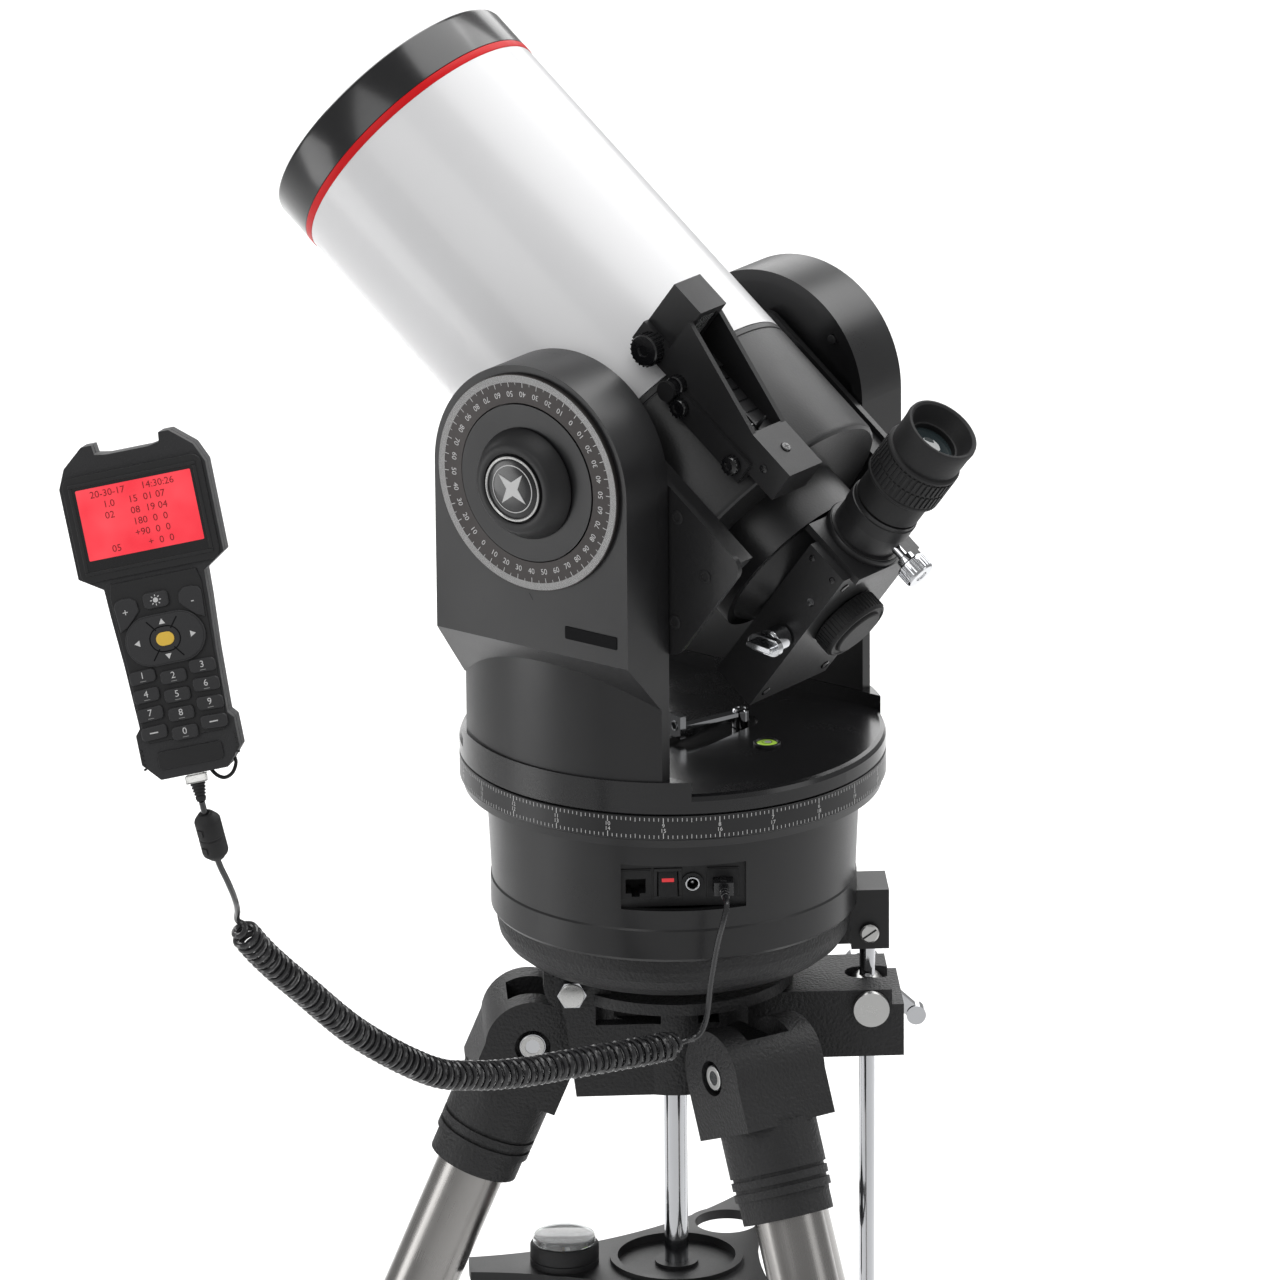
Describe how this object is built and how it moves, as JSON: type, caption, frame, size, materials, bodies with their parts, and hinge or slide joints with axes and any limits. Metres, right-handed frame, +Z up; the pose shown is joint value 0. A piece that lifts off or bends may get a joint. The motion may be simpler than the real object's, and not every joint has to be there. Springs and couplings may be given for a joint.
{
  "type": "fork-mounted telescope on an equatorial wedge and tripod",
  "caption": "Motorised fork mount on an equatorial wedge and field tripod, holding a short telescope tube with finder and eyepiece, with a corded handset.",
  "frame": {"origin": "on the floor, on the azimuth axis with the wedge level, at the centre of the circle through the three feet", "axes": "+Z up along the level azimuth axis; +X along the latitude arm of the tripod head; -Y towards the connector panel"},
  "size_m": [0.516, 0.6301, 1.099],
  "materials": {
    "black_plastic": "moulded satin plastic",
    "dark_casting": "fine textured",
    "brushed_steel": "brushed",
    "chrome": "polished",
    "white_tube": "gloss paint",
    "black_gloss": "gloss",
    "rubber": "matt",
    "glass": "coated",
    "mirror": "polished",
    "brass": "machined",
    "lcd_red": "gloss",
    "yellow_key": "matt",
    "level": "gloss",
    "scale_grey": "satin",
    "clear_plug": "gloss"
  },
  "bodies": {
    "tripod": {"tripod_head": "black_plastic", "head_bolts": "chrome", "center_rod": "chrome", "handset_case": "dark_casting", "handset_window": "lcd_red", "cord_lead_handset": "rubber", "cord_coil": "rubber", "plug_handset": "rubber"},
    "tray": {"tray": "black_plastic", "tray_compass": "black_gloss"},
    "tray_knob": {"tray_knob": "black_plastic"},
    "swivel": {"latitude_swivel": "brushed_steel"},
    "clamp": {"clamp_lever": "chrome"},
    "link": {"latitude_rod": "chrome"},
    "wedge": {"wedge_plate": "black_plastic", "latitude_bracket": "black_plastic", "drive_housing": "black_plastic", "azimuth_motor": "brushed_steel", "connector_panel": "dark_casting", "sockets": "rubber", "plug_base": "clear_plug", "cord_lead_base": "rubber"},
    "switch": {"power_switch": "black_gloss"},
    "circle_az": {"azimuth_circle": "black_plastic"},
    "fork": {"turntable": "black_plastic", "azimuth_gear": "brass", "fork_arm_near": "black_plastic", "fork_arm_far": "black_plastic", "arm_cover_near": "black_plastic", "arm_cover_far": "black_plastic", "bubble_level": "level"},
    "az_lever": {"azimuth_lever": "chrome"},
    "circle_alt": {"altitude_circle": "scale_grey"},
    "optical": {"tube_saddles": "black_plastic", "altitude_gear": "brass", "optical_tube": "white_tube", "front_cell": "black_gloss", "corrector_lens": "glass", "primary_mirror": "mirror", "rear_cell": "black_plastic", "finder": "black_plastic", "flip_box": "black_plastic"},
    "alt_knob": {"altitude_knob": "black_gloss"},
    "mirror": {"flip_mirror": "mirror"},
    "flip_lever": {"flip_lever": "chrome"},
    "port_cap": {"port_cap": "black_gloss"},
    "eyepiece": {"eyepiece": "rubber"},
    "eyepiece_screw": {"eyepiece_screw": "chrome"},
    "key_mat": {"key_mat": "rubber"},
    "arrow_pad": {"arrow_pad": "rubber"},
    "enter_key": {"enter_key": "yellow_key"},
    "leg_left": {"leg_castings_left": "dark_casting", "leg_tube_left": "brushed_steel"},
    "foot_left": {"lower_leg_left": "brushed_steel"},
    "leg_front": {"leg_castings_front": "dark_casting", "leg_tube_front": "brushed_steel"},
    "foot_front": {"lower_leg_front": "brushed_steel"},
    "leg_rear": {"leg_castings_rear": "dark_casting", "leg_tube_rear": "brushed_steel"},
    "foot_rear": {"lower_leg_rear": "brushed_steel"}
  },
  "joints": [
    {"name": "tray_slide", "type": "slide", "parent": "tripod", "child": "tray", "axis": [0, 0, -1], "range_m": [0, 0.2]},
    {"name": "tray_knob_turn", "type": "hinge", "parent": "tray", "child": "tray_knob", "pos_m": [0, 0, 0.433], "axis": [0, 0, 1], "continuous": true},
    {"name": "leg_fold_left", "type": "hinge", "parent": "tripod", "child": "leg_left", "pos_m": [-0.073, 0, 0.59], "axis": [0, -1, 0], "range_deg": [0, 13.4]},
    {"name": "leg_length_left", "type": "slide", "parent": "leg_left", "child": "foot_left", "axis": [-0.3891, 0, -0.9212], "range_m": [0, 0.3]},
    {"name": "leg_fold_front", "type": "hinge", "parent": "tripod", "child": "leg_front", "pos_m": [0.0365, -0.06322, 0.59], "axis": [0.866, 0.5, 0], "range_deg": [0, 13.4]},
    {"name": "leg_length_front", "type": "slide", "parent": "leg_front", "child": "foot_front", "axis": [0.1946, -0.337, -0.9212], "range_m": [0, 0.3]},
    {"name": "leg_fold_rear", "type": "hinge", "parent": "tripod", "child": "leg_rear", "pos_m": [0.0365, 0.06322, 0.59], "axis": [-0.866, 0.5, 0], "range_deg": [0, 13.4]},
    {"name": "leg_length_rear", "type": "slide", "parent": "leg_rear", "child": "foot_rear", "axis": [0.1946, 0.337, -0.9212], "range_m": [0, 0.3]},
    {"name": "latitude", "type": "hinge", "parent": "tripod", "child": "wedge", "pos_m": [-0.054, 0, 0.625], "axis": [0, -1, 0], "range_deg": [0, 45]},
    {"name": "latitude_swivel_turn", "type": "hinge", "parent": "tripod", "child": "swivel", "pos_m": [0.0974, 0, 0.6067], "axis": [0, -1, 0], "range_deg": [0, 22.5]},
    {"name": "latitude_rod_turn", "type": "hinge", "parent": "wedge", "child": "link", "pos_m": [0.09749, 0, 0.6425], "axis": [0, -1, 0], "range_deg": [-22.5, 0]},
    {"name": "clamp_lever_turn", "type": "hinge", "parent": "swivel", "child": "clamp", "pos_m": [0.0974, 0, 0.6067], "axis": [0, 1, 0], "range_deg": [-60, 40]},
    {"name": "azimuth_circle_turn", "type": "hinge", "parent": "wedge", "child": "circle_az", "pos_m": [0, 0, 0.7337], "axis": [0, 0, 1], "continuous": true},
    {"name": "azimuth", "type": "hinge", "parent": "wedge", "child": "fork", "pos_m": [0, 0, 0.745], "axis": [0, 0, 1], "continuous": true},
    {"name": "azimuth_lever_turn", "type": "hinge", "parent": "fork", "child": "az_lever", "pos_m": [0.03457, 0.00244, 0.7555], "axis": [0, 0, 1], "range_deg": [0, 20]},
    {"name": "altitude_circle_turn", "type": "hinge", "parent": "fork", "child": "circle_alt", "pos_m": [-0.07368, -0.08843, 0.9088], "axis": [0.6401, 0.7683, 0], "continuous": true},
    {"name": "altitude", "type": "hinge", "parent": "fork", "child": "optical", "pos_m": [0, 0, 0.9088], "axis": [0.6401, 0.7683, 0], "range_deg": [-37.3, 52.7]},
    {"name": "altitude_knob_turn", "type": "hinge", "parent": "optical", "child": "alt_knob", "pos_m": [-0.07809, -0.09373, 0.9088], "axis": [0.6401, 0.7683, 0], "continuous": true},
    {"name": "flip_lever_turn", "type": "hinge", "parent": "optical", "child": "flip_lever", "pos_m": [0.04075, -0.09383, 0.82411], "axis": [0.6401, 0.7683, 0], "range_deg": [0, 45]},
    {"name": "flip_mirror_turn", "type": "hinge", "parent": "optical", "child": "mirror", "pos_m": [0.08338, -0.06947, 0.84498], "axis": [0.6401, 0.7683, 0], "range_deg": [0, 45]},
    {"name": "port_cap_turn", "type": "hinge", "parent": "optical", "child": "port_cap", "pos_m": [0.08434, -0.07027, 0.82517], "axis": [0.6111, -0.5092, -0.606], "continuous": true},
    {"name": "eyepiece_screw_turn", "type": "hinge", "parent": "optical", "child": "eyepiece_screw", "pos_m": [0.11588, -0.09655, 0.85927], "axis": [0.6111, -0.5092, -0.606], "continuous": true},
    {"name": "eyepiece_slide", "type": "slide", "parent": "optical", "child": "eyepiece", "axis": [0.4656, -0.3879, 0.7955], "range_m": [0, 0.03]},
    {"name": "power_switch_rock", "type": "hinge", "parent": "wedge", "child": "switch", "pos_m": [-0.0076, -0.08, 0.697], "axis": [1, 0, 0], "range_deg": [-8, 8]},
    {"name": "key_press", "type": "slide", "parent": "tripod", "child": "key_mat", "axis": [0.1199, 0.9644, -0.2356], "range_m": [0, 0.001], "stiffness_N_per_m": 600},
    {"name": "arrow_press", "type": "slide", "parent": "tripod", "child": "arrow_pad", "axis": [0.1199, 0.9644, -0.2356], "range_m": [0, 0.001], "stiffness_N_per_m": 600},
    {"name": "enter_press", "type": "slide", "parent": "tripod", "child": "enter_key", "axis": [0.1199, 0.9644, -0.2356], "range_m": [0, 0.001], "stiffness_N_per_m": 400}
  ],
  "couplings": [
    {"joint": "leg_fold_left", "follows": "tray_slide", "rad_per_m": 1.166},
    {"joint": "leg_fold_front", "follows": "tray_slide", "rad_per_m": 1.166},
    {"joint": "leg_fold_rear", "follows": "tray_slide", "rad_per_m": 1.166},
    {"joint": "latitude_swivel_turn", "follows": "latitude", "ratio": 0.5},
    {"joint": "latitude_rod_turn", "follows": "latitude", "ratio": -0.5},
    {"joint": "flip_mirror_turn", "follows": "flip_lever_turn", "ratio": 1}
  ]
}
